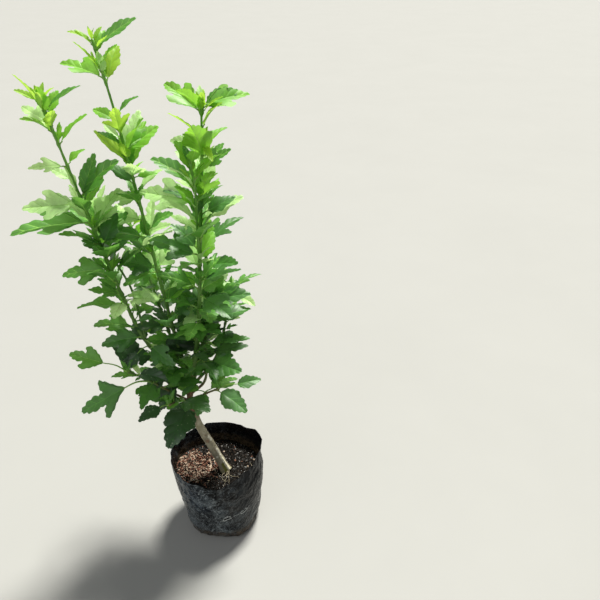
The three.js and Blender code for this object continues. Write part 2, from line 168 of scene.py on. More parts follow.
# The leaves that stand out in the photograph. Each one: fraction of its stem, azimuth, rise of the blade,
# length of the blade, length of the petiole, shape, tint. The leaves were picked by eye, but most of these
# numbers were worked out by other scripts from the leaves' places in the photograph, some by a random search.
CHOSEN_LEAVES = {
    "far_left_stem": [
        (0.98, 192, 22, 32, 5, "narrow", "new"),
        (0.93, 160, 15, 46, 5, "lobed", "pale"),
        (0.9, 235, 30, 48, 8, "lobed", "bright"),
        (0.95, 51, 42, 34, 4, "broad", "bright"),
        (0.96, 5, 27, 52, 10, "narrow", "fresh"),
        (0.81, 218, 2, 46, 8, "lobed", "pale"),
        (0.815, 34, 31, 30, 4, "broad", "bright"),
        (0.765, 158, 17, 36, 8, "broad", "pale"),
        (0.72, 20, 60, 64, 6, "narrow", "fresh"),
        (0.72, 10, 38, 76, 6, "lobed", "fresh"),
        (0.73, 235, 70, 40, 8, "broad", "pale"),
        (0.7, 195, -8, 80, 9, "lobed", "pale"),
        (0.64, 190, -5, 110, 10, "lobed", "fresh"),
        (0.61, 55, 44, 66, 14, "lobed", "pale"),
        (0.56, 35, 45, 50, 12, "broad", "mid"),
        (0.51, 345, 45, 50, 6, "broad", "mid"),
        (0.54, 155, 30, 42, 8, "lobed", "mid"),
        (0.49, 195, -10, 68, 8, "lobed", "fresh"),
        (0.4, 210, 20, 48, 6, "lobed", "fresh"),
        (0.38, 265, -10, 40, 10, "broad", "pale"),
        (0.236, 199, -10, 64, 6, "lobed", "mid"),
        (0.227, 309, -22, 58, 27, "lobed", "mid"),
        (0.2, 228, -36, 38, 21, "broad", "deep"),
        (0.081, 212, -36, 53, 8, "broad", "dark"),
        (0.022, 218, -47, 53, 17, "broad", "dark"),
        (0.25, 20, 10, 36, 6, "broad", "bright"),
    ],
    "mid_left_stem": [
        (0.96, 65, 47, 34, 5, "broad", "bright"),
        (0.97, 10, 32, 66, 10, "narrow", "fresh"),
        (0.99, 195, 20, 30, 5, "narrow", "new"),
        (0.9, 161, 13, 68, 8, "lobed", "bright"),
        (0.91, 275, 70, 32, 6, "broad", "pale"),
        (0.8, 162, 11, 40, 5, "broad", "bright"),
        (0.81, 10, 35, 40, 6, "narrow", "fresh"),
        (0.72, 58, 45, 66, 5, "lobed", "pale"),
        (0.72, 28, 25, 56, 8, "broad", "bright"),
        (0.73, 210, 32, 40, 5, "narrow", "fresh"),
        (0.75, 155, 21, 36, 5, "narrow", "pale"),
        (0.65, 13, 4, 32, 5, "broad", "bright"),
        (0.63, 170, 35, 50, 8, "broad", "mid"),
        (0.59, 210, 8, 44, 6, "lobed", "pale"),
        (0.53, 170, -1, 52, 6, "lobed", "pale"),
        (0.5, 350, 32, 48, 10, "broad", "fresh"),
        (0.48, 205, 8, 68, 12, "broad", "fresh"),
        (0.39, 130, 41, 40, 5, "lobed", "pale"),
        (0.39, 36, 32, 40, 5, "lobed", "pale"),
        (0.39, 205, 18, 60, 6, "lobed", "mid"),
        (0.38, 230, -5, 56, 10, "lobed", "fresh"),
        (0.37, 330, 2, 32, 6, "broad", "fresh"),
        (0.24, 350, 28, 52, 10, "lobed", "mid"),
        (0.2, 200, 10, 56, 10, "lobed", "deep"),
        (0.15, 195, 12, 44, 8, "broad", "fresh"),
    ],
    "centre_stem": [
        (0.97, 155, 20, 68, 8, "lobed", "bright"),
        (0.99, 107, 49, 26, 4, "narrow", "pale"),
        (0.99, 11, 1, 68, 5, "lobed", "bright"),
        (0.98, 20, 14, 52, 8, "broad", "fresh"),
        (0.88, 170, -2, 44, 5, "broad", "pale"),
        (0.88, 295, -18, 40, 6, "narrow", "new"),
        (0.87, 32, 28, 44, 5, "narrow", "bright"),
        (0.8, 152, 25, 48, 4, "broad", "pale"),
        (0.81, 0, 28, 46, 6, "lobed", "fresh"),
        (0.745, 180, 22, 76, 12, "narrow", "fresh"),
        (0.77, 117, 47, 36, 8, "broad", "pale"),
        (0.7, 171, -3, 92, 12, "lobed", "pale"),
        (0.7, 165, 10, 50, 12, "broad", "mid"),
        (0.64, 26, 22, 68, 8, "broad", "pale"),
        (0.66, 5, 16, 48, 12, "broad", "mid"),
        (0.52, 195, 12, 84, 8, "slender", "mid"),
        (0.53, 170, 40, 52, 12, "lobed", "mid"),
        (0.5, 52, 42, 48, 5, "broad", "bright"),
        (0.39, 350, 32, 44, 6, "broad", "fresh"),
        (0.39, 157, 19, 46, 8, "broad", "bright"),
        (0.37, 310, -10, 70, 16, "lobed", "mid"),
    ],
    "right_short_stem": [
        (0.93, 355, 13, 74, 10, "broad", "mid"),
        (0.95, 10, 26, 58, 12, "lobed", "fresh"),
        (0.89, 240, -8, 52, 10, "broad", "pale"),
        (0.397, 316, 2, 67, 22, "broad", "mid"),
        (0.45, 355, 11, 66, 15, "lobed", "deep"),
        (0.403, 225, -25, 46, 3, "lobed", "fresh"),
    ],
    "right_back_shoot": [
        (0.944, 325, -18, 32, 26, "broad", "pale"),
    ],
    "left_back_shoot": [
        (0.3, 240, 0, 42, 8, "slender", "pale"),
        (0.2, 200, -10, 46, 8, "lobed", "fresh"),
    ],
    "low_left_shoot": [
        (0.984, 184, 7, 61, 44, "lobed", "fresh"),
        (0.668, 192, -36, 101, 43, "slender", "mid"),
        (0.131, 252, 14, 53, 4, "broad", "fresh"),
    ],
    "low_front_shoot": [
        (0.044, 259, -17, 86, 16, "broad", "dark"),
        (0.0, 206, -39, 61, 4, "broad", "dark"),
    ],
    "low_right_shoot": [
        (0.594, 252, -42, 42, 2, "broad", "mid"),
        (0.859, 330, -21, 60, 12, "broad", "mid"),
        (0.916, 359, -3, 44, 39, "broad", "mid"),
    ],
}


# Finishes

class Field:
    """A value that varies over a surface. Python's operators add the Math nodes."""

    def __init__(self, finish, socket):
        self.finish = finish
        self.socket = socket

    def __add__(self, other):
        return self.finish.maths("ADD", self, other)

    def __sub__(self, other):
        return self.finish.maths("SUBTRACT", self, other)

    def __rsub__(self, other):
        return self.finish.maths("SUBTRACT", other, self)

    def __mul__(self, other):
        return self.finish.maths("MULTIPLY", self, other)

    def __pow__(self, other):
        return self.finish.maths("POWER", self, other)

    __radd__ = __add__
    __rmul__ = __mul__


def linear(colour):
    """The linear colour of a screen colour of three values up to 255. Any other colour stays as it is."""
    if isinstance(colour, Field) or len(colour) == 4:
        return colour
    values = np.array(colour) / 255
    values = np.where(values <= 0.04045, values / 12.92, ((values + 0.055) / 1.055) ** 2.4)
    return (*map(float, values), 1.0)


class Finish:
    """A material and short ways to build its nodes. They read places and heights in metres."""

    def __init__(self, name):
        self.material = bpy.data.materials.new(name)
        self.material.use_nodes = True
        self.tree = self.material.node_tree
        self.tree.nodes.clear()

    def node(self, kind, settings=None, sockets=None, out=0):
        node = self.tree.nodes.new("ShaderNode" + kind)
        for key, value in (settings or {}).items():
            if key == "stops":
                for _ in range(len(value) - 2):
                    node.color_ramp.elements.new(0.5)
                for element, (position, colour) in zip(node.color_ramp.elements, value):
                    element.position = position
                    element.color = colour
            else:
                setattr(node, key, value)
        for key, value in (sockets or {}).items():
            if isinstance(value, Field):
                self.tree.links.new(value.socket, node.inputs[key])
            else:
                node.inputs[key].default_value = value
        return Field(self, node.outputs[out]) if node.outputs else None

    def maths(self, operation, *values):
        return self.node("Math", {"operation": operation}, dict(enumerate(values)))

    def vectors(self, operation, *values, out=0):
        return self.node("VectorMath", {"operation": operation}, dict(enumerate(values)), out)

    def here(self):
        return self.node("TexCoord", out="Object")

    def along(self, axis):
        return self.node("SeparateXYZ", sockets={0: self.here()}, out=axis)

    def place(self, stretch=(1, 1, 1), wander=0.0, size=20.0, turn=(0, 0, 0)):
        """The surface's own place, turned, pulled out along the axes and pushed about by noise of a size."""
        here = self.here()
        euler = {"rotation_type": "EULER_XYZ"}
        turned = self.node("VectorRotate", euler, {"Vector": here, "Rotation": turn})
        place = self.vectors("MULTIPLY", turned, stretch)
        if not wander:
            return place
        push = self.node("TexNoise", sockets={"Vector": here, "Scale": 1 / (size * MM)}, out="Color")
        return self.vectors("MULTIPLY_ADD", push, (wander * MM,) * 3, place)

    def grain(self, size, detail=3.0, rough=0.5, stretch=(1, 1, 1), warp=0.0):
        """Soft noise from 0 to 1 whose blotches are about that many millimetres across."""
        sockets = {"Vector": self.place(stretch), "Scale": 1 / (size * MM), "Detail": detail}
        return self.node("TexNoise", sockets={**sockets, "Roughness": rough, "Distortion": warp})

    def cells(self, size, stretch=(1, 1, 1), feature="F1", wander=0.0, turn=(0, 0, 0)):
        """How far it is to the nearest of many points, or to the edge between two, in cell widths."""
        place = self.place(stretch, wander, size * 1.4, turn)
        return self.node("TexVoronoi", {"feature": feature}, {"Vector": place, "Scale": 1 / (size * MM)})

    def stroke(self, start, end, reach):
        """1 along a straight line between two spots, falling to 0 at that many millimetres from it."""
        start, end = (np.array(spot, float) * MM for spot in (start, end))
        span = end - start
        way = span / max(span @ span, 1e-9)
        away = self.vectors("SUBTRACT", self.here(), tuple(start))
        share = self.vectors("DOT_PRODUCT", away, tuple(way), out="Value")
        held = self.node("Clamp", sockets={"Value": share})
        nearest = self.node("VectorMath", {"operation": "SCALE"}, {0: tuple(span), "Scale": held})
        return self.step(self.vectors("DISTANCE", away, nearest, out="Value"), reach * MM, 0)

    def strokes(self, lines, reach):
        """1 along any of some lines."""
        return self.most([self.stroke(start, end, reach) for start, end in lines])

    def most(self, values):
        greatest = values[0]
        for value in values[1:]:
            greatest = self.maths("MAXIMUM", greatest, value)
        return greatest

    def step(self, value, low, high):
        """0 up to low, 1 from high on, and smooth between them. Low may be the greater of the two."""
        sockets = {"Value": value, "From Min": low, "From Max": high}
        return self.node("MapRange", {"interpolation_type": "SMOOTHSTEP"}, sockets)

    def blend(self, share, first, second):
        """A colour between two colours."""
        return self.node("Mix", {"data_type": "RGBA"}, {0: share, 6: linear(first), 7: linear(second)}, out=2)

    def layered(self, tone, layers):
        """A colour with others laid over it in turn, each by its own share."""
        for share, colour in layers:
            tone = self.blend(share, tone, colour)
        return tone

    def ramp(self, value, stops):
        return self.node("ValToRGB", {"stops": [(at, linear(colour)) for at, colour in stops]}, {0: value})

    def bump(self, height, depth, strength=1.0):
        """Relief of that many millimetres from a value of 0 to 1."""
        return self.node("Bump", sockets={"Height": height, "Distance": depth * MM, "Strength": strength})

    def surface(self, tone, rough, **others):
        sockets = {key.replace("_", " "): value for key, value in others.items()}
        return self.node("BsdfPrincipled", sockets={"Base Color": tone, "Roughness": rough, **sockets})

    def done(self, shader):
        self.node("OutputMaterial", sockets={"Surface": shader})
        return self.material


def film_finish(name, dusty, soiled_height, tears=(), seams=(), painted_sheen=()):
    """Black polythene film: crinkled, with grey dusting, pale scratches and creases, and soil up to a height.
    The grey thins out towards the right, which paints shade on that side, and a bluish patch is a painted
    reflection of the sky.
    """
    finish = Finish(name)
    height = finish.along("Z")
    patch = finish.grain(30, detail=4, rough=0.6, warp=0.6)
    haze = finish.grain(5, detail=6, rough=0.7, warp=0.8)
    crinkle = finish.cells(15, (0.5, 1, 1), "DISTANCE_TO_EDGE", wander=7, turn=(0.5, 0.7, 0))
    small = finish.cells(7, (1, 0.6, 1), "DISTANCE_TO_EDGE", wander=4, turn=(-0.6, -0.5, 0))
    scratch = finish.grain(6, detail=5, rough=0.7, stretch=(1, 1, 0.5), warp=2.2)
    worn = finish.step(patch * 0.65 + haze * 0.35, 0.45, 0.6)
    low = finish.step(height + patch * 0.03, 0.12, 0.07)
    line = finish.step((scratch - 0.5) ** 2, 0.0008, 0)
    crease = finish.step(crinkle, 0.06, 0) * finish.step(haze, 0.44, 0.64)
    fine_crease = finish.step(small, 0.06, 0) * finish.step(haze, 0.48, 0.66)
    # Painted shade: the pale grey dusting, with the scratches and creases drawn through it, thins out towards
    # the right (+X), so that side of the film is darker
    left = finish.step(finish.along("X"), 0.07, -0.01)
    dust_and_shade = (finish.most([left, low * 0.36]) * 0.92 + 0.08) * dusty
    rough = worn * 0.2 + haze * 0.14 + 0.2
    layers = [(worn * dust_and_shade * 0.58, (80, 88, 92))]
    if painted_sheen:
        # Painted reflection of the sky: a bluish-grey patch on the upper left of the film
        layers.append((finish.strokes(painted_sheen, 46) * finish.step(haze, 0.3, 0.6) * 0.5, (74, 86, 98)))
    layers += [
        (line * (worn * 0.8 + low * 0.6) * dust_and_shade, (136, 144, 148)),
        (fine_crease * dust_and_shade * 0.72, (118, 124, 128)),
        (crease * dust_and_shade * 0.85, (150, 156, 158)),
    ]
    if tears:
        rag = (finish.grain(2.4, detail=4, rough=0.7) - 0.5) * 2.2
        lips = finish.step(finish.strokes(tears, 10) + rag * 0.7, 0.4, 0.6)
        layers += [
            (finish.step(finish.strokes(seams, 2.6) + rag, 0.3, 0.8) * 0.55, (150, 154, 154)),
            (lips * 0.8, (192, 196, 194)),
            (finish.step(finish.strokes(tears, 6) + rag * 0.2, 0.5, 0.62), (6, 6, 6)),
        ]
        rough = rough + lips * 0.3
    soiled = finish.step(height - haze * 0.02, (soiled_height + 6) * MM, (soiled_height - 6) * MM)
    layers.append((soiled * finish.step(haze, 0.36, 0.58) * 0.7, (84, 70, 52)))
    relief = finish.bump(finish.step(crinkle, 0, 0.3) * 0.65 + finish.step(small, 0, 0.4) * 0.3, 1.3, 0.9)
    tone = finish.layered((5, 6, 7), layers)
    return finish.done(finish.surface(tone, rough, Normal=relief, Specular_IOR_Level=0.12))


def crumbly_finish(name, dark, light, size, shine=0.0):
    """Potting mix: two tones in blotches, rough, and smoother by the share called shine where it is damp."""
    finish = Finish(name)
    blotch = finish.grain(size, detail=5, rough=0.7)
    large = finish.grain(size * 6, detail=2)
    tone = finish.blend(finish.step(blotch * 0.7 + large * 0.3, 0.38, 0.64), dark, light)
    rough = 0.95 - shine * finish.step(large, 0.45, 0.6)
    relief = finish.bump(blotch, size * 0.4, 0.9)
    return finish.done(finish.surface(tone, rough, Normal=relief, Specular_IOR_Level=0.2))


def trunk_finish():
    """Smooth grey-tan bark, brown towards the fork and mossy at the foot, with a healed wound and scars."""
    finish = Finish("grey_bark")
    height = finish.along("Z")
    blotch = finish.grain(9, detail=5, rough=0.6, stretch=(1, 1, 0.45))
    streak = finish.grain(2.4, detail=4, rough=0.65, stretch=(1, 1, 0.16))
    speck = finish.step(finish.cells(3.4, stretch=(1, 1, 1.5)), 0.26, 0.16)
    patch = finish.step(finish.grain(15, detail=3), 0.6, 0.68)
    bark = finish.ramp(blotch, [(0.3, (134, 126, 105)), (0.52, (176, 168, 141)), (0.7, (204, 198, 173))])
    brown = finish.ramp(streak, [(0.3, (62, 44, 30)), (0.55, (112, 82, 56)), (0.75, (156, 126, 92))])
    mossy = finish.step(height - blotch * 0.03, 0.126, 0.1) + finish.stroke(STUB, STUB, 12) * 0.8
    ragged = (blotch - 0.5) * 1.2 + (streak - 0.5) * 0.6
    rag = (finish.grain(2.6, detail=4, rough=0.7) - 0.5) * 1.6 + (blotch - 0.5) * 0.8
    tone = finish.layered(bark, [
        (streak * 0.45, (100, 92, 76)),
        (speck * 0.6, (190, 184, 166)),
        (patch * 0.5, (112, 84, 62)),
        (finish.step(height + blotch * 0.02, 0.262, 0.292), brown),
        (mossy * 0.6, (122, 120, 52)),
        (finish.step(finish.stroke(RED_PATCH, RED_PATCH, 8) + ragged, 0.2, 0.5) * 0.6, (128, 84, 60)),
        (finish.step(finish.stroke(*WOUND, 6.5) + rag, 0.15, 0.75) * 0.9, (126, 128, 48)),
        (finish.step(finish.stroke(*WOUND_LIP, 5) + rag * 0.6, 0.2, 0.5), (240, 234, 204)),
        (finish.step(finish.strokes(PALE_SCARS, 5) + rag, 0.3, 0.6) * 0.85, (226, 220, 200)),
    ])
    relief = finish.bump(streak * 0.5 + blotch * 0.5, 0.9, 0.8)
    return finish.done(finish.surface(tone, streak * 0.2 + 0.6, Normal=relief))


def shoot_finish():
    """Young stems: brown and barky low in the crown, green and smooth above, with pale specks."""
    finish = Finish("young_bark")
    height = finish.along("Z")
    streak = finish.grain(1.6, detail=4, rough=0.6, stretch=(1, 1, 0.2))
    blotch = finish.grain(12, detail=3)
    wood = finish.ramp(streak, [(0.3, (70, 54, 38)), (0.55, (118, 96, 68)), (0.75, (150, 132, 100))])
    low_green = finish.blend(streak, (52, 90, 28), (98, 134, 54))
    high_green = finish.blend(streak, (74, 132, 36), (122, 174, 70))
    speck = finish.step(finish.cells(2.6, stretch=(1, 1, 1.3)), 0.2, 0.12)
    tone = finish.layered(wood, [
        (finish.step(height + blotch * 0.05, 0.34, 0.42), low_green),
        (finish.step(height + blotch * 0.08, 0.46, 0.74), high_green),
        (speck * 0.35, (158, 160, 110)),
    ])
    return finish.done(finish.surface(tone, streak * 0.2 + 0.45, Normal=finish.bump(streak, 0.35, 0.7)))


def leaf_finish(name, colour, sheer):
    """A satin leaf blade. Sheer is the share of light that goes through it. A dense one has pale specks."""
    finish = Finish(name)
    mottle = finish.grain(5, detail=4, rough=0.6)
    cloud = finish.grain(26, detail=2)
    base = linear(colour)[:3]
    deep = (*(value * 0.7 for value in base), 1.0)
    glow = (*(min(1.0, value * 1.22 + 0.01) for value in base), 1.0)
    through = (*(value ** 0.6 * share for value, share in zip(base, (1.0, 1.08, 0.75))), 1.0)
    tone = finish.blend(finish.step(mottle * 0.5 + cloud * 0.5, 0.3, 0.7), deep, glow)
    if sheer < 0.32:
        speck = finish.step(finish.cells(7, wander=4), 0.2, 0.12) * finish.step(cloud, 0.44, 0.54)
        tone = finish.blend(speck * 0.7, tone, (176, 190, 150))
    relief = finish.bump(mottle, 0.25, 0.5)
    blade = finish.surface(tone, mottle * 0.16 + 0.4, Normal=relief, Specular_IOR_Level=1.0)
    lit = finish.node("BsdfTranslucent", sockets={"Color": through})
    return finish.done(finish.node("MixShader", sockets={0: sheer, 1: blade, 2: lit}))


def stalk_finish(name, dark, light):
    """Petioles, leaf veins and root threads."""
    finish = Finish(name)
    streak = finish.grain(3, detail=3)
    return finish.done(finish.surface(finish.blend(streak, dark, light), streak * 0.15 + 0.42))


def floor_finish():
    finish = Finish("pale_floor")
    tone = finish.blend(finish.grain(400, detail=2), (158, 158, 154), (162, 162, 158))
    return finish.done(finish.surface(tone, finish.grain(90) * 0.1 + 0.75))


# Shapes

def unit(vectors):
    return vectors / np.maximum(np.linalg.norm(vectors, axis=-1, keepdims=True), 1e-9)


def read_at(t, places, rows):
    """Rows of numbers that stand at places along a line, read at t by straight lines between them."""
    return np.stack([np.interp(t, places, column) for column in rows.T], -1)


def stops_at(stops, t):
    return np.interp(t, [stop[0] for stop in stops], [stop[1] for stop in stops])


def ease(value, low, high):
    """0 up to low, 1 from high on, and smooth between them. Low may be the greater of the two."""
    share = np.clip((value - low) / (high - low), 0, 1)
    return share * share * (3 - 2 * share)


def bulge(gap, width, power=2):
    """1 where the gap is 0, falling smoothly to 0 beyond the width. A higher power makes its top flatter."""
    return np.exp(-((gap / width) ** power))


def wrapped(angle, whole):
    """The same angle, from minus a half turn to a half turn."""
    return (angle + whole / 2) % whole - whole / 2


def all_round(count):
    return np.arange(count) / count * FULL_TURN


class Curve:
    """A smooth line through points, read by fractions of its length. Beyond its ends it runs straight on."""

    def __init__(self, path, samples=120):
        path = np.array(path, float)
        held = np.vstack([2 * path[0] - path[1], path, 2 * path[-1] - path[-2]])
        spans = []
        s = np.linspace(0, 1, samples)[:, None]
        smooth = s * s * (3 - 2 * s)
        for before, start, end, after in zip(held, held[1:], held[2:], held[3:]):
            pairs = ((before, start), (start, end), (end, after))
            d0, d1, d2 = (np.linalg.norm(b - a) ** 0.5 for a, b in pairs)
            leave = ((start - before) / d0 - (end - before) / (d0 + d1) + (end - start) / d1) * d1
            arrive = ((end - start) / d1 - (after - start) / (d1 + d2) + (after - end) / d2) * d1
            straight = (1 - smooth) * start + smooth * end
            spans.append(straight + s * (1 - s) ** 2 * leave - s * s * (1 - s) * arrive)
        self.points = np.vstack([spans[0]] + [span[1:] for span in spans[1:]])
        gaps = np.linalg.norm(np.diff(self.points, axis=0), axis=1)
        reached = np.concatenate([[0], np.cumsum(gaps)])
        self.length = reached[-1]
        self.share = reached / self.length

    def at(self, t):
        held = np.clip(t, 0, 1)
        past = np.asarray(t - held)[..., None] * self.length
        return read_at(held, self.share, self.points) + past * self.tangent(held)

    def tangent(self, t, step=0.004):
        ends = [read_at(np.clip(t + way, 0, 1), self.share, self.points) for way in (-step, step)]
        return unit(ends[1] - ends[0])


def wobble(points, size, offset=0.0):
    """Smooth noise from about -1 to 1 at many points, with blotches of that size in millimetres."""
    scaled = points.reshape(-1, 3) / size + offset
    values = [noise.noise(Vector(point)) for point in scaled]
    return np.array(values).reshape(points.shape[:-1])


def crumple(points, size, offset=0.0):
    """Facets with sharp creases between them, as crushed film has: 0 in a crease, about 1 on a facet."""
    scaled = points.reshape(-1, 3) / size + offset
    near = [noise.voronoi(Vector(point))[0] for point in scaled]
    return np.array([others[0] - nearest for nearest, *others in near]).reshape(points.shape[:-1])


def gap_between(points, start, end):
    """How far each point is from the straight line between two spots."""
    span = np.subtract(end, start).astype(float)
    away = points - np.array(start, float)
    share = np.clip(away @ span / (span @ span), 0, 1)
    return np.linalg.norm(away - share[..., None] * span, axis=-1)


def grid_faces(rows, columns, wrap):
    """The four-cornered faces of a grid of points, closed on itself across the columns when wrap is true."""
    row, column = np.meshgrid(np.arange(rows - 1), np.arange(columns if wrap else columns - 1), indexing="ij")
    start = row * columns
    beside = (column + 1) % columns
    corners = [start + column, start + beside, start + columns + beside, start + columns + column]
    return np.stack(corners, -1).reshape(-1, 4)


def fan(ring, tip, outwards=True):
    """Triangles from a ring of points to one point."""
    beside = np.roll(ring, -1)
    corners = (ring, beside) if outwards else (beside, ring)
    return np.stack([*corners, np.full(len(ring), tip), np.full(len(ring), -1)], -1)


def closed_grid(grid):
    """A closed skin from rings of points, with a middle point at each end."""
    rings, sides = grid.shape[:2]
    points = np.vstack([grid.reshape(-1, 3), grid[0].mean(0), grid[-1].mean(0)])
    first, last = np.arange(sides), np.arange(sides) + (rings - 1) * sides
    faces = [grid_faces(rings, sides, True), fan(first, rings * sides, False), fan(last, rings * sides + 1)]
    return points, np.vstack(faces)


def tube(curve, radius, at, sides):
    """Rings round a curve at fractions of its length. The radius may differ at every point."""
    tangent = curve.tangent(at)
    side = unit(np.cross((0.0, 1.0, 0.0), tangent))
    other = np.cross(tangent, side)
    angle = all_round(sides)[:, None]
    radius = np.broadcast_to(np.asarray(radius, float).reshape(len(at), -1), (len(at), sides))[..., None]
    return curve.at(at)[:, None] + radius * (np.cos(angle) * side[:, None] + np.sin(angle) * other[:, None])


def make_piece(name, parts, finishes, slot, smooth=True):
    """One object from parts. Each has points, faces (a missing corner is -1) and each face's finish."""
    offset = 0
    all_faces = []
    for points, faces, _ in parts:
        all_faces.append(np.where(faces >= 0, faces + offset, -1))
        offset += len(points)
    faces = np.vstack(all_faces)
    looks = np.concatenate([np.broadcast_to(look, len(part_faces)) for _, part_faces, look in parts])
    points = np.vstack([points for points, _, _ in parts]) * MM
    corners = faces >= 0
    counts = corners.sum(1)
    starts = np.concatenate([[0], np.cumsum(counts)[:-1]])
    mesh = bpy.data.meshes.new(name)
    mesh.vertices.add(len(points))
    mesh.vertices.foreach_set("co", points.astype(np.float32).ravel())
    mesh.loops.add(int(counts.sum()))
    mesh.loops.foreach_set("vertex_index", faces[corners].astype(np.int32))
    mesh.polygons.add(len(faces))
    mesh.polygons.foreach_set("loop_start", starts.astype(np.int32))
    mesh.polygons.foreach_set("material_index", looks.astype(np.int32))
    mesh.polygons.foreach_set("use_smooth", np.full(len(faces), smooth))
    mesh.update(calc_edges=True)
    mesh.validate()
    for finish in finishes:
        mesh.materials.append(finish)
    piece = bpy.data.objects.new(name, mesh)
    bpy.context.scene.collection.objects.link(piece)
    if slot:
        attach(piece, "root")
    return piece


# The bag

def bag_plan(radius, angle, z):
    """A point of the bag's plan: shifted at the foot, squarer there, and waving and leaning at the rim."""
    height = z / BAG_HEIGHT
    wave = 0.012 * np.sin(3 * angle + 1) + 0.009 * np.sin(5 * angle) * height
    tucked = 0.05 * np.cos(4 * (angle - math.radians(FOOT_CORNER))) * np.clip(1 - z / 45, 0, 1)
    lean = stops_at(RIM_LEAN, wrapped(np.degrees(angle), 360))
    leaning = np.clip((z - LEAN_FROM) / (BAG_HEIGHT - LEAN_FROM), 0, 1)
    wide = radius * (1 + wave * height + tucked) + lean * leaning
    return np.stack([FOOT_SHIFT * (1 - height) + wide * np.cos(angle), wide * np.sin(angle), z], -1)


def rim_lift(angle, z):
    """How far the film's edge waves up and down, fading to nothing half way down the bag."""
    slack = np.clip(2 * z / BAG_HEIGHT - 1, 0, 1) ** 2
    waves = np.sin(2 * angle + 0.7) + 0.6 * np.sin(5 * angle) + 0.22 * np.sin(17 * angle + 2)
    return RIM_WAVE * slack * waves


def laid_flat(place):
    """A place on the bag, given as degrees round it and height, in millimetres on the film laid out flat."""
    return math.radians(place[0]) * BAG_RADIUS, place[1]


def film_relief(points, angle, z):
    """How far the film stands out or in: broad dents, slanting folds, sharp creases and the torn holes."""
    slack = ease(z, 112, 160)
    dents = wobble(points, 46) * 3
    slanting = points @ SLANT
    folds = (0.28 - np.abs(wobble(slanting * (0.6, 1, 1.2), 32, 5.0))) * 4
    warped = slanting + 6 * wobble(points, 24, 3.0)[..., None]
    creases = 0.4 - crumple(warped * (0.5, 1, 1), 21, 9.0)
    crumples = crumple(warped * (1, 0.6, 1), 12, 4.0) - 0.35
    gathers = np.sin(angle * 22 + 2 * np.sin(3 * angle)) * 0.9 * np.clip(1 - z / 26, 0, 1)
    relief = dents * (0.55 + 0.45 * slack) + folds * (0.5 + 0.7 * slack)
    relief = relief + creases * 2.6 + crumples * 1.1 + gathers
    flat = np.stack([wrapped(angle, FULL_TURN) * BAG_RADIUS, z], -1)
    for start, end in SEAMS:
        relief = relief + 0.9 * bulge(gap_between(flat, laid_flat(start), laid_flat(end)), 2.4)
    for start, end in TEARS:
        hole = gap_between(flat, laid_flat(start), laid_flat(end))
        relief = relief + 1.4 * bulge(hole - 3.4, 1.5) - 2.6 * bulge(hole, 2.2, 4)
    return relief * np.clip(z / 5, 0, 1)


def film_skin(angle, z):
    """The crumpled film's outer points, before the rim is lifted, and the plan they stand out from."""
    radius = stops_at(BAG_OUTLINE, z)
    relief = film_relief(bag_plan(radius, angle, z), angle, z)
    return bag_plan(radius - FILM_INSET + relief, angle, z), radius - FILM_INSET + relief


def film_lines(lines):
    """Lines between points of the crumpled film, from lines between degrees round the bag and height."""
    lines = np.array(lines, float)
    return film_skin(np.radians(lines[..., 0]), lines[..., 1])[0].tolist()


def make_bag():
    around, rows, inner_rows, foot_rows = 300, 118, 44, 8
    angle, z = np.meshgrid(all_round(around), np.linspace(0, BAG_HEIGHT, rows))
    outer, radius = film_skin(angle, z)
    inner = bag_plan(radius - FILM, angle, z)
    for skin in (outer, inner):
        skin[..., 2] += rim_lift(angle, z)
    middle = outer[0].mean(0)
    foot = np.stack([middle + (outer[0] - middle) * share for share in np.linspace(0.05, 0.97, foot_rows)])
    foot[..., 2] = 0
    rings = np.concatenate([foot, outer, inner[: -inner_rows - 1: -1]])
    count = len(rings)
    points = np.vstack([rings.reshape(-1, 3), middle * (1, 1, 0)])
    faces = np.vstack([grid_faces(count, around, True), fan(np.arange(around), count * around, False)])
    looks = np.zeros(len(faces), int)
    looks[(foot_rows + rows - 1) * around:] = 1
    # The tears, the crease between them, and the painted reflection of the sky
    marks_and_reflection = [film_lines(lines) for lines in (TEARS, SEAMS, PAINTED_SHEEN)]
    finishes = [film_finish("black_film", 1.0, 12, *marks_and_reflection), film_finish("inner_film", 0.26, 128)]
    bag = make_piece("bag_film", [(points, faces, looks)], finishes, "bag")
    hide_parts("bag")


# The soil

def soil_height(x, y):
    """The height of the soil: flat round the trunk, mounded on one side and lower elsewhere at the film."""
    edge = stops_at(BAG_OUTLINE, SOIL_LEVEL)
    towards = np.maximum(0, x * MOUND_TOWARDS[0] + y * MOUND_TOWARDS[1]) / edge
    away = np.clip((np.hypot(x, y) - SOIL_COLLAR) / (edge - SOIL_COLLAR), 0, 1)
    ripple = SOIL_RIPPLE * (1 - np.sin(0.09 * x + 1) * np.cos(0.08 * y))
    return SOIL_LEVEL + away * (SOIL_MOUND * towards - ripple)


def icosahedron():
    golden = (1 + 5 ** 0.5) / 2
    points = []
    for one, other in itertools.product((-1, 1), (-golden, golden)):
        points += [(0, one, other), (one, other, 0), (other, 0, one)]
    points = np.array(points, float)
    faces = []
    for corners in itertools.combinations(range(12), 3):
        sides = [np.linalg.norm(points[a] - points[b]) for a, b in itertools.combinations(corners, 2)]
        if max(sides) < 2.01:
            a, b, c = points[list(corners)]
            outwards = np.dot(np.cross(b - a, c - a), a + b + c) > 0
            faces.append(corners if outwards else corners[::-1])
    return unit(points), np.array([(*face, -1) for face in faces])


def turned_ways(rng, count):
    """Random rotations as matrices."""
    first = unit(rng.normal(size=(count, 3)))
    second = unit(np.cross(first, rng.normal(size=(count, 3))))
    return np.stack([first, second, np.cross(first, second)], -1)


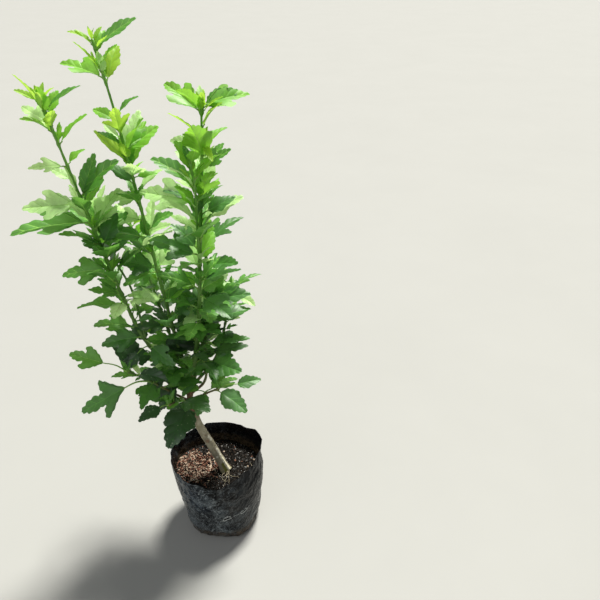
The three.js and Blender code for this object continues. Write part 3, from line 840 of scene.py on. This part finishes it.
def scatter(rng, places, sizes, flatness, roughness):
    """Small uneven lumps at places, each with its own size and turn."""
    points, faces = icosahedron()
    count = len(places)
    shape = points[None] * (1 + rng.uniform(-roughness, roughness, (count, 12, 1)))
    stretch = np.stack([np.ones(count), rng.uniform(0.55, 0.95, count), rng.uniform(*flatness, count)], -1)
    shape = shape * stretch[:, None] * sizes[:, None, None]
    shape = np.einsum("nij,nkj->nki", turned_ways(rng, count), shape) + places[:, None]
    all_faces = faces[None] + (np.arange(count) * 12)[:, None, None]
    all_faces[..., 3] = -1
    return shape.reshape(-1, 3), all_faces.reshape(-1, 4)


def soil_places(rng, count, inside, keep):
    """Random places on the soil for which keep(x, y) is greater than a random number."""
    found = np.empty((0, 2))
    while len(found) < count:
        radius = inside * np.sqrt(rng.random(count))
        angle = rng.random(count) * FULL_TURN
        x, y = radius * np.cos(angle) + SOIL_CENTRE, radius * np.sin(angle)
        kept = keep(x, y) > rng.random(count)
        kept &= np.hypot(x - TRUNK_PATH[0][0], y) > TRUNK_CLEAR
        found = np.vstack([found, np.stack([x, y], -1)[kept]])
    return found[:count]


def mounded(x, y):
    """1 where the coarse chips lie, left of the trunk, and 0 away from them, with a ragged edge."""
    ragged = 7 * np.sin(0.16 * x + 1) * np.sin(0.13 * y + 2)
    return ease(np.hypot(x - CHIPS_CENTRE[0], y - CHIPS_CENTRE[1]) + ragged, 56, 26)


def strew(name, rng, kinds, inside, grain, lift, flatness, roughness):
    """One piece of many lumps on the soil. Each kind gives its finish's name, colours and shine, how many
    lumps it has, their sizes, and how likely a place away from the mound, or on it, is to keep one."""
    looks, parts = [], []
    for look, dark, light, shine, count, sizes, away, on_mound in kinds:
        spots = soil_places(rng, count, inside, lambda x, y: away + (on_mound - away) * mounded(x, y))
        places = np.column_stack([spots, soil_height(*spots.T) + rng.uniform(*lift, count)])
        parts.append((*scatter(rng, places, rng.uniform(*sizes, count), flatness, roughness), len(looks)))
        looks.append(crumbly_finish(look, dark, light, grain, shine))
    make_piece(name, parts, looks, "soil", smooth=False)


def way_to(heading):
    return np.array([math.cos(heading), math.sin(heading)])


def make_threads(rng, edge):
    """Thin pale roots that lie on the soil, the first few of them from the trunk's foot."""
    parts = []
    for number in range(13):
        at_foot = number < 6
        if at_foot:
            heading = rng.uniform(-2.4, 0.2)
            start = np.array([TRUNK_PATH[0][0] + 4, 0]) + 9 * way_to(heading)
        else:
            heading = rng.uniform(0, FULL_TURN)
            start = soil_places(rng, 1, edge - 20, lambda x, y: x * 0 + 1)[0]
        spots = [start]
        for _ in range(7 if at_foot else 4):
            heading += rng.uniform(-0.8, 0.8)
            spots.append(spots[-1] + rng.uniform(3, 8) * way_to(heading))
        spots = [spot for spot in spots if np.hypot(*spot) < edge - 5]
        if len(spots) < 3:
            continue
        path = [(x, y, soil_height(x, y) + rng.uniform(0.4, 2.6)) for x, y in spots]
        path[0] = (*spots[0], SOIL_LEVEL + rng.uniform(2, 5) if at_foot else SOIL_LEVEL)
        at = np.linspace(0, 1, 30)
        parts.append((*closed_grid(tube(Curve(path, 20), rng.uniform(0.3, 0.6) * (1 - 0.7 * at), at, 5)), 0))
    make_piece("root_threads", parts, [stalk_finish("pale_root", (124, 110, 84), (192, 182, 154))], "soil")


def make_soil():
    rng = np.random.default_rng(SEED)
    rings, around = 64, 190
    edge = stops_at(BAG_OUTLINE, SOIL_LEVEL) - SOIL_GAP
    angle = all_round(around)
    level = np.full(around, float(SOIL_LEVEL))
    film = film_relief(bag_plan(edge + 0 * angle, angle, level), angle, level)
    reach = edge + np.minimum(0, film) - 0.4
    radius = (np.linspace(0.02, 1, rings) ** 0.8)[:, None] * reach
    plan = bag_plan(radius, np.broadcast_to(angle, (rings, around)), np.full_like(radius, SOIL_LEVEL))
    lumps = wobble(plan, 7) * 2.2 + wobble(plan, 2.6, 4.0) * 1.3
    plan[..., 2] = soil_height(plan[..., 0], plan[..., 1]) + lumps - 1
    middle = plan[0].mean(0)
    skirt = (plan[-1] - middle) * (0.9, 0.9, 0) + middle * (1, 1, 0) + (0, 0, SOIL_LEVEL - 14)
    points = np.vstack([plan.reshape(-1, 3), skirt, middle])
    faces = grid_faces(rings + 1, around, True)[:, ::-1]
    faces = np.vstack([faces, fan(np.arange(around), (rings + 1) * around)])
    bed_finish = crumbly_finish("damp_mix", (8, 7, 5), (30, 25, 19), 2.2, 0.5)
    bed = make_piece("soil_bed", [(points, faces, 0)], [bed_finish], "soil")

    crumbs = [
        ("dark_crumb", (8, 7, 5), (28, 23, 17), 0.4, 1900, (0.7, 2.4), 1, 0.4),
        ("brown_crumb", (34, 26, 20), (74, 60, 46), 0.3, 560, (0.7, 2.0), 1, 0.4),
        ("grey_grit", (110, 108, 105), (200, 200, 196), 0.4, 300, (0.5, 1.7), 1, 0.1),
    ]
    chips = [
        ("red_chip", (92, 59, 47), (148, 107, 88), 0, 430, (1.4, 3.2), 0.012, 1),
        ("tan_chip", (140, 117, 99), (206, 188, 166), 0, 400, (1.3, 3.1), 0.012, 1),
        ("dark_chip", (28, 19, 14), (64, 46, 35), 0, 300, (1.4, 3.4), 0.012, 1),
    ]
    strew("soil_crumbs", rng, crumbs, edge - 2, 1.6, lift=(-1.2, 1), flatness=(0.5, 0.9), roughness=0.3)
    strew("soil_chips", rng, chips, edge - 3, 1.8, lift=(-0.8, 2.2), flatness=(0.3, 0.65), roughness=0.34)
    make_threads(rng, edge)
    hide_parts("soil")


# The trunk

def make_trunk():
    curve = Curve(TRUNK_PATH)
    sides, steps = 72, 250
    at = np.linspace(-0.06, 1.0, steps)
    angle = all_round(sides)
    foot = np.clip(1 - at / 0.11, 0, 1.3)[:, None] ** 2
    radius = stops_at(TRUNK_RADII, at)[:, None]
    radius = radius * (1 + 0.13 * foot * np.cos(3 * angle + 0.6) + 0.05 * foot * np.cos(5 * angle))
    skin = tube(curve, radius, at, sides)
    streaks = wobble(skin * (1, 1, 0.3), 2.6) * 0.34
    swells = wobble(skin * (1, 1, 0.6), 13, 2.0) * 0.8
    neck = ease(at, 0.6, 0.72)[:, None]
    ridges = (0.2 - np.abs(wobble(skin, 9, 6.0))) * 3.2 * neck
    scars = -0.7 * ease(np.abs(wobble(skin * (1, 1, 2.4), 8, 8.0)), 0.42, 0.5)
    relief = streaks + swells + ridges + scars
    relief = relief - bulge(gap_between(skin, *WOUND), 3.4) + 1.2 * bulge(gap_between(skin, *WOUND_LIP), 2.8)
    gap = np.linalg.norm(skin - STUB, axis=-1)
    relief = relief + 2.6 * bulge(gap, 5, 4) - 1.2 * bulge(gap, 2.6, 4)
    for share, turn, height in KNOTS:
        across = wrapped(angle - math.radians(turn), FULL_TURN)
        up = (at[:, None] - share) * curve.length
        relief = relief + height * bulge(up, 6) * bulge(across * 7, 5.5)
    points, faces = closed_grid(tube(curve, radius + relief, at, sides))
    trunk = make_piece("trunk_bark", [(points, faces, 0)], [trunk_finish()], "bark")
    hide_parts("trunk")


# Leaves

# Half of each leaf's outline, from its base to its tip, as shares of its length. Its side veins end at shares
# of the way round that half.
LEAF_SHAPES = {
    "lobed": {
        "edge": [(0, 0), (0.02, 0.055), (0.09, 0.14), (0.19, 0.23), (0.3, 0.315), (0.4, 0.385), (0.485, 0.42),
                 (0.535, 0.405), (0.535, 0.335), (0.505, 0.25), (0.48, 0.18), (0.5, 0.15), (0.56, 0.158),
                 (0.64, 0.178), (0.73, 0.158), (0.82, 0.113), (0.91, 0.058), (0.97, 0.02), (1, 0)],
        "veins": (0.2, 0.4, 0.7, 0.81, 0.9),
        "teeth": 9,
    },
    "slender": {
        "edge": [(0, 0), (0.03, 0.045), (0.11, 0.105), (0.21, 0.175), (0.31, 0.265), (0.39, 0.345),
                 (0.445, 0.37), (0.465, 0.33), (0.445, 0.25), (0.42, 0.17), (0.425, 0.115), (0.48, 0.105),
                 (0.57, 0.13), (0.67, 0.13), (0.78, 0.098), (0.89, 0.05), (0.96, 0.018), (1, 0)],
        "veins": (0.2, 0.38, 0.68, 0.8, 0.9),
        "teeth": 9,
    },
    "broad": {
        "edge": [(0, 0), (0.03, 0.09), (0.11, 0.19), (0.22, 0.28), (0.34, 0.34), (0.45, 0.345), (0.51, 0.295),
                 (0.55, 0.25), (0.63, 0.245), (0.74, 0.2), (0.85, 0.125), (0.94, 0.05), (1, 0)],
        "veins": (0.22, 0.42, 0.62, 0.76, 0.88),
        "teeth": 8,
    },
    "narrow": {
        "edge": [(0, 0), (0.06, 0.06), (0.16, 0.125), (0.3, 0.18), (0.44, 0.205), (0.56, 0.195), (0.68, 0.16),
                 (0.8, 0.11), (0.91, 0.05), (1, 0)],
        "veins": (0.24, 0.42, 0.58, 0.72, 0.85),
        "teeth": 7,
    },
}
TOOTH = 0.04  # how far a tooth stands out, as a share of the leaf's length
VEIN_SLOPE = 1.05  # a side vein runs this far along the leaf for each unit across
HALF_VEIN = 0.005  # half of a side vein's width at the midrib, as a share of the way round the outline
COLUMNS = (0, 0.03, 0.34, 0.7, 1)  # where each half's columns stand, as shares of the way from midrib to edge


def leaf_template(shape, rows):
    """A flat leaf of length 1, with rows of points along its side veins, and which of its faces are veins."""
    outline = Curve([(x, y, 0) for x, y in shape["edge"]], 60)
    veins = np.array(shape["veins"])
    share = np.linspace(0, 1, rows)
    near = np.min(np.abs(share[:, None] - veins), axis=1)
    share = share[(near > 0.6 / rows) | (share == 0) | (share == 1)]
    share = np.unique(np.concatenate([share, veins - HALF_VEIN, veins + HALF_VEIN]))
    edge = outline.at(share)[:, :2]
    along = outline.tangent(share)[:, :2]
    outwards = np.stack([-along[:, 1], along[:, 0]], -1)
    phase = share * shape["teeth"] % 1
    tooth = (1 - np.abs(2 * phase - 1) ** 1.7) * ease(share, 0.1, 0.2) * ease(share, 1, 0.93)
    midrib = np.maximum.accumulate(np.clip(edge[:, 0] - VEIN_SLOPE * edge[:, 1], 0, 1))
    midrib = midrib + np.linspace(0, 1, len(share)) * 0.02
    midrib = (midrib / midrib[-1])[:, None]
    edge = edge + TOOTH * tooth[:, None] * (outwards + 0.35 * along)
    edge[0], edge[-1] = (0, 0), (1, 0)
    across = np.array([-column for column in COLUMNS[:0:-1]] + list(COLUMNS))
    reach = np.abs(across)
    x = midrib + reach * (edge[:, :1] - midrib) + 0.05 * reach * (1 - reach) * np.sin(np.pi * share)[:, None]
    y = across * edge[:, 1:]
    for vein in veins:
        pair = np.abs(np.abs(share - vein) - HALF_VEIN) < 1e-9
        for values in (x, y):
            middle = values[pair].mean(0)
            values[pair] = middle + (values[pair] - middle) * (1 - 0.85 * reach)
    gaps = np.concatenate([[0], veins, [1]])
    slot = np.clip(np.searchsorted(gaps, share) - 1, 0, len(gaps) - 2)
    within = (share - gaps[slot]) / (gaps[slot + 1] - gaps[slot])
    quilt = np.sin(np.pi * np.clip(within, 0, 1)) ** 0.7
    puff = quilt[:, None] * (reach * (1.15 - reach)) * 2.6

    # The grid's two ends are drawn together into one point each
    index = np.arange(x.size).reshape(x.shape)
    index[0], index[-1] = index[0, 0], index[-1, 0]
    used, flat = np.unique(index, return_inverse=True)
    flat = flat.reshape(x.shape)
    a, b, c, d = flat[:-1, :-1], flat[:-1, 1:], flat[1:, 1:], flat[1:, :-1]
    quads = np.stack([a, d, c, b], -1)
    none = np.full(a.shape[1], -1)
    quads[0] = np.stack([a[0], d[0], c[0], none], -1)
    quads[-1] = np.stack([a[-1], d[-1], b[-1], none], -1)
    is_rib = np.minimum(reach[:-1], reach[1:]) < 0.02
    inner = reach[:-1] + reach[1:] < 2
    strip = np.any((share[:-1, None] < veins) & (share[1:, None] > veins), axis=1)
    return {
        "x": x.ravel()[used], "y": y.ravel()[used], "puff": puff.ravel()[used],
        "faces": quads.reshape(-1, 4), "vein": (is_rib | (strip[:, None] & inner)).ravel(),
    }


TEMPLATES = {
    (name, is_large): leaf_template(shape, rows)
    for name, shape in LEAF_SHAPES.items()
    for is_large, rows in ((True, 52), (False, 26))
}


def beside(forwards, roll):
    """The directions to the left of a heading and above it, rolled round it by an angle."""
    side = unit(np.cross((0.0, 0.0, 1.0), forwards))
    up = np.cross(forwards, side)
    cosine, sine = np.cos(np.radians(roll)), np.sin(np.radians(roll))
    return side * cosine + up * sine, up * cosine - side * sine


def bent_leaf(template, length, form):
    """The points of a leaf that lies along +X from its base, folded, arched, twisted and waved."""
    x, y = template["x"], template["y"] * form["width"]
    reach = np.abs(y)
    fold = math.radians(form["fold"]) * (1 - 0.45 * x)
    steps = np.linspace(0, 1, 25)
    pitch = -math.radians(form["arch"]) * steps ** 1.3
    yaw = math.radians(form["sweep"]) * steps
    heading = np.stack([np.cos(pitch) * np.cos(yaw), np.cos(pitch) * np.sin(yaw), np.sin(pitch)], -1)
    rib = np.vstack([np.zeros(3), np.cumsum((heading[1:] + heading[:-1]) / 2, axis=0) / 24])
    side, up = beside(unit(read_at(x, steps, heading)), form["twist"] * x[:, None])
    wave = form["wave"] * reach * np.sin(FULL_TURN * (1.6 * x + form["phase"]) + np.sign(y) * 1.3)
    droop = form["droop"] * np.maximum(0, reach - 0.12) ** 1.5
    lift = reach * np.sin(fold) + wave - droop + form["puff"] * template["puff"]
    return (read_at(x, steps, rib) + side * (y * np.cos(fold))[:, None] + up * lift[:, None]) * length


def leaf_form(rng, age):
    """How one leaf bends, by its age from 0 at a shoot's tip to 1 at its foot."""
    return {
        "width": rng.uniform(0.78, 1.04) * (0.8 + 0.22 * age),
        "fold": rng.uniform(8, 30) * (1.2 - 0.5 * age),
        "arch": rng.uniform(12, 52) * (0.75 + 0.3 * age),
        "sweep": rng.uniform(-14, 14),
        "twist": rng.uniform(-22, 22),
        "wave": rng.uniform(0.05, 0.15),
        "phase": rng.random(),
        "droop": rng.uniform(0.1, 0.5),
        "puff": rng.uniform(0.008, 0.02),
    }


# Each tint: its colour, how much of the light goes through the blade, and its veins' finish
TINTS = {
    "new": ((154, 202, 46), 0.5, "young_vein"),
    "bright": ((114, 184, 34), 0.46, "young_vein"),
    "fresh": ((76, 142, 38), 0.4, "young_vein"),
    "pale": ((190, 230, 150), 0.5, "young_vein"),
    "mid": ((52, 110, 30), 0.32, "grown_vein"),
    "deep": ((37, 82, 23), 0.28, "old_vein"),
    "dark": ((27, 64, 24), 0.24, "old_vein"),
}
VEIN_TONES = {
    "young_vein": ((136, 190, 76), (164, 208, 104)),
    "grown_vein": ((84, 146, 56), (104, 160, 74)),
    "old_vein": ((50, 98, 42), (66, 114, 54)),
}


def tint_for(rng, age):
    """A leaf's tint by age: yellow-green at the tips, dark at the foot, and some pale ones between."""
    if age < 0.12:
        return rng.choice(["new", "bright"])
    if age < 0.4:
        return rng.choice(["bright", "fresh", "pale", "fresh"])
    if age < 0.7:
        return rng.choice(["fresh", "mid", "fresh", "pale", "fresh"])
    return rng.choice(["mid", "deep", "mid", "dark", "fresh"])


def direction(azimuth, rise):
    azimuth, rise = math.radians(azimuth), math.radians(rise)
    return np.array([math.cos(azimuth) * math.cos(rise), math.sin(azimuth) * math.cos(rise), math.sin(rise)])


class Leaf:
    """One leaf on its stem, with its petiole. Its upper side turns to the front by the angle called face."""

    def __init__(self, rng, node, radius, age, azimuth, rise, length, petiole, shape, tint, face):
        self.shape, self.tint, self.length = shape, tint, length
        self.form = leaf_form(rng, age)
        self.heading = direction(azimuth, min(80, rise + self.form["arch"] * 0.45))
        roll = face * math.cos(math.radians(azimuth)) + rng.uniform(-18, 18)
        side, self.up = beside(self.heading, roll)
        self.turning = np.stack([self.heading, side, self.up])
        spread = direction(azimuth, np.clip(rise + 22, -10, 70))
        flatter = spread * (1, 1, 0.2)
        self.start = node + flatter * radius * 0.6
        self.base = node + unit(flatter) * radius + spread * petiole

    def blade(self):
        template = TEMPLATES[self.shape, self.length > LARGE_LEAF]
        return bent_leaf(template, self.length, self.form) @ self.turning + self.base, template

    def stalk(self):
        middle = (self.start + self.base) / 2 + (0, 0, 0.12 * np.linalg.norm(self.base - self.start))
        inside = self.base + self.heading * self.length * 0.04 - self.up * 0.3
        at = np.linspace(0, 1, 9)
        radius = (0.62 + self.length * 0.0085) * (1.25 - 0.5 * at)
        return closed_grid(tube(Curve([self.start, middle, self.base, inside], 8), radius, at, 7))


def grow_leaves(name, radii, masses, curve, rng):
    """Every leaf on one shoot: those of CHOSEN_LEAVES, then the seeded rule's, then the tuft at its tip."""
    tall = curve.length > TALL_SHOOT
    chosen = CHOSEN_LEAVES.get(name, [])
    leaves = []

    def put(own, face, place, *features):
        radius = radii[0] + (radii[1] - radii[0]) * min(1, place)
        age = (1 - place) if tall else 0.35 + 0.5 * (1 - place)
        leaves.append(Leaf(own, curve.at(place), radius, age, *features, face))

    def is_crowded(place, azimuth):
        near = [turn for other, turn, *_ in chosen if abs(place - other) * curve.length < CLEAR_ALONG]
        return any(abs(wrapped(azimuth - turn, 360)) < CLEAR_ROUND for turn in near)

    for number, features in enumerate(chosen):
        own = np.random.default_rng((SEED, number))
        put(own, CHOSEN_FACE + max(0, features[2] - 30) * 0.75, *features)
    azimuth = rng.uniform(0, 360)
    spurs = [(0.05, 0.22, 58)] if tall else []
    for low, high, reach in [*spurs, *masses.values()]:
        count = max(2, round((high - low) * curve.length / LEAF_SPACING))
        for place in np.linspace(low, min(high, 0.97), count):
            azimuth += GOLDEN_ANGLE + rng.uniform(-14, 14)
            if is_crowded(place, azimuth):
                continue
            age = np.clip((CROWN_TOP - curve.at(place)[2]) / CROWN_DEPTH, 0.05, 1)
            rise = 50 - 52 * age + rng.uniform(-12, 12)
            petiole = rng.uniform(4, 8) + 16 * age * rng.random()
            fuller = 1 + 0.24 * abs(math.sin(math.radians(azimuth)))
            length = min(reach * rng.uniform(0.52, 0.94), reach * 1.05 - petiole * 0.6) * fuller
            shape = rng.choice(["lobed", "slender", "broad"] if age > 0.2 else ["narrow", "broad", "slender"])
            if shape == "slender" and length < SLENDER_LEAF:
                shape = "broad"
            put(rng, RULE_FACE, place, azimuth, rise, length, petiole, shape, tint_for(rng, age))
            for share, chance in ((0.56, 0.7), (0.36, 0.4)):
                if rng.random() < chance:
                    aside = azimuth + rng.choice([-1, 1]) * rng.uniform(28, 70)
                    higher = rise + rng.uniform(6, 34)
                    shorter = length * share * rng.uniform(0.8, 1.2)
                    shape = rng.choice(["narrow", "broad", "slender"])
                    tint = tint_for(rng, age * 0.62)
                    put(rng, RULE_FACE, place + 0.006, aside, higher, shorter, petiole * 0.5, shape, tint)
    tint = "new" if tall else "fresh"
    for step in range(6 if tall else 4):
        azimuth += GOLDEN_ANGLE
        place, rise, length, petiole = 1 - 0.006 * step, 78 - 9 * step, 11 + 4.6 * step, 2 + 0.6 * step
        put(rng, TUFT_FACE, place, azimuth, rise, length, petiole, "narrow", tint)
    return leaves


def make_shoot(name, radii, path, masses, rng, finishes):
    """A shoot's wood, with a swelling at each leaf, and its leaves and petioles."""
    curve = Curve(path)
    leaves = grow_leaves(name, radii, masses, curve, rng)
    foot_radius, tip_radius = (radius * STEM_SLIMNESS for radius in radii)
    at = np.linspace(-0.01, 1, int(curve.length / 2.6))
    radius = foot_radius + (tip_radius - foot_radius) * np.clip(at, 0, 1)
    radius = radius * (1 + 0.35 * np.exp(-at * curve.length / 6))
    starts = [np.argmin(np.linalg.norm(curve.points - leaf.start, axis=1)) for leaf in leaves]
    for place in curve.share[starts]:
        radius = radius + 0.5 * bulge((at - place) * curve.length, 2.6) * (radius < foot_radius * 1.5)
    radius = radius * (1 - 0.55 * ease(at, 0.985, 1))
    sides = 16
    skin = tube(curve, radius, at, sides)
    relief = wobble(skin * (1, 1, 0.35), 3.0) * 0.28 + wobble(skin, 11, 3.0) * 0.35
    skin = tube(curve, radius[:, None] + relief * np.minimum(1, radius / 3)[:, None], at, sides)
    wood = make_piece(name + "_bark", [(*closed_grid(skin), 0)], [finishes["shoot"]], "stem")
    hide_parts(name)

    order = [*TINTS, *VEIN_TONES]
    parts = []
    for leaf in leaves:
        points, template = leaf.blade()
        vein = order.index(TINTS[leaf.tint][2])
        parts.append((points, template["faces"], np.where(template["vein"], vein, order.index(leaf.tint))))
    title = name.replace("_stem", "").replace("_shoot", "")
    blades = make_piece(title + "_leaf_sprays", parts, [finishes[key] for key in order], "leaf")
    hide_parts(*(title + "_leaves" + ending for ending in masses))
    make_piece(title + "_petioles", [(*leaf.stalk(), 0) for leaf in leaves], [finishes["petiole"]], "stem")


def make_plant():
    finishes = {tint: leaf_finish(tint + "_leaf", *look[:2]) for tint, look in TINTS.items()}
    stalk_tones = {**VEIN_TONES, "petiole": ((96, 148, 48), (148, 186, 88))}
    finishes.update({name: stalk_finish(name, *tones) for name, tones in stalk_tones.items()})
    finishes["shoot"] = shoot_finish()
    for number, (name, shoot) in enumerate(SHOOTS.items()):
        make_shoot(name, *shoot, np.random.default_rng(SEED + 100 * number), finishes)


# The studio

def add_light(name, azimuth, rise, strength, softness, colour):
    """A distant light. It comes from that azimuth and rise, and its softness is the angle that it fills."""
    data = bpy.data.lights.new(name, "SUN")
    data.angle = math.radians(softness)
    data.energy = strength
    data.color = colour
    light = bpy.data.objects.new(name, data)
    light.rotation_euler = Vector(direction(azimuth, rise)).to_track_quat("Z", "Y").to_euler()
    bpy.context.scene.collection.objects.link(light)


def add_studio():
    scene = bpy.context.scene
    data = bpy.data.cameras.new("camera")
    data.sensor_fit = "HORIZONTAL"
    data.angle = math.radians(CAMERA_ANGLE)
    camera = bpy.data.objects.new("camera", data)
    camera.location = Vector(CAMERA_PLACE) * MM
    camera.rotation_euler = (math.radians(90 - CAMERA_PITCH), 0, 0)
    scene.collection.objects.link(camera)
    scene.camera = camera

    add_light("overhead", azimuth=60, rise=68, strength=6.2, softness=12, colour=(1.0, 0.98, 0.92))
    add_light("front_fill", azimuth=-115, rise=52, strength=0.6, softness=50, colour=(0.95, 0.97, 1.0))
    world = bpy.data.worlds.new("studio")
    world.use_nodes = True
    nodes, links = world.node_tree.nodes, world.node_tree.links
    way = nodes.new("ShaderNodeTexCoord")
    height = nodes.new("ShaderNodeSeparateXYZ")
    sky = nodes.new("ShaderNodeValToRGB")
    for element, share, shade in zip(sky.color_ramp.elements, (0.0, 0.7), (0.34, 0.18)):
        element.position = share
        element.color = (shade * 0.96, shade * 0.98, shade, 1)
    links.new(way.outputs["Generated"], height.inputs[0])
    links.new(height.outputs["Z"], sky.inputs[0])
    links.new(sky.outputs[0], nodes["Background"].inputs["Color"])
    scene.world = world
    scene.view_settings.view_transform = "Standard"

    corners = np.array([(-1, -1, 0), (1, -1, 0), (1, 1, 0), (-1, 1, 0)]) * float(FLOOR_REACH)
    floor = make_piece("floor", [(corners, np.array([[0, 1, 2, 3]]), 0)], [floor_finish()], None)


add_studio()
make_bag()
make_soil()
make_trunk()
make_plant()
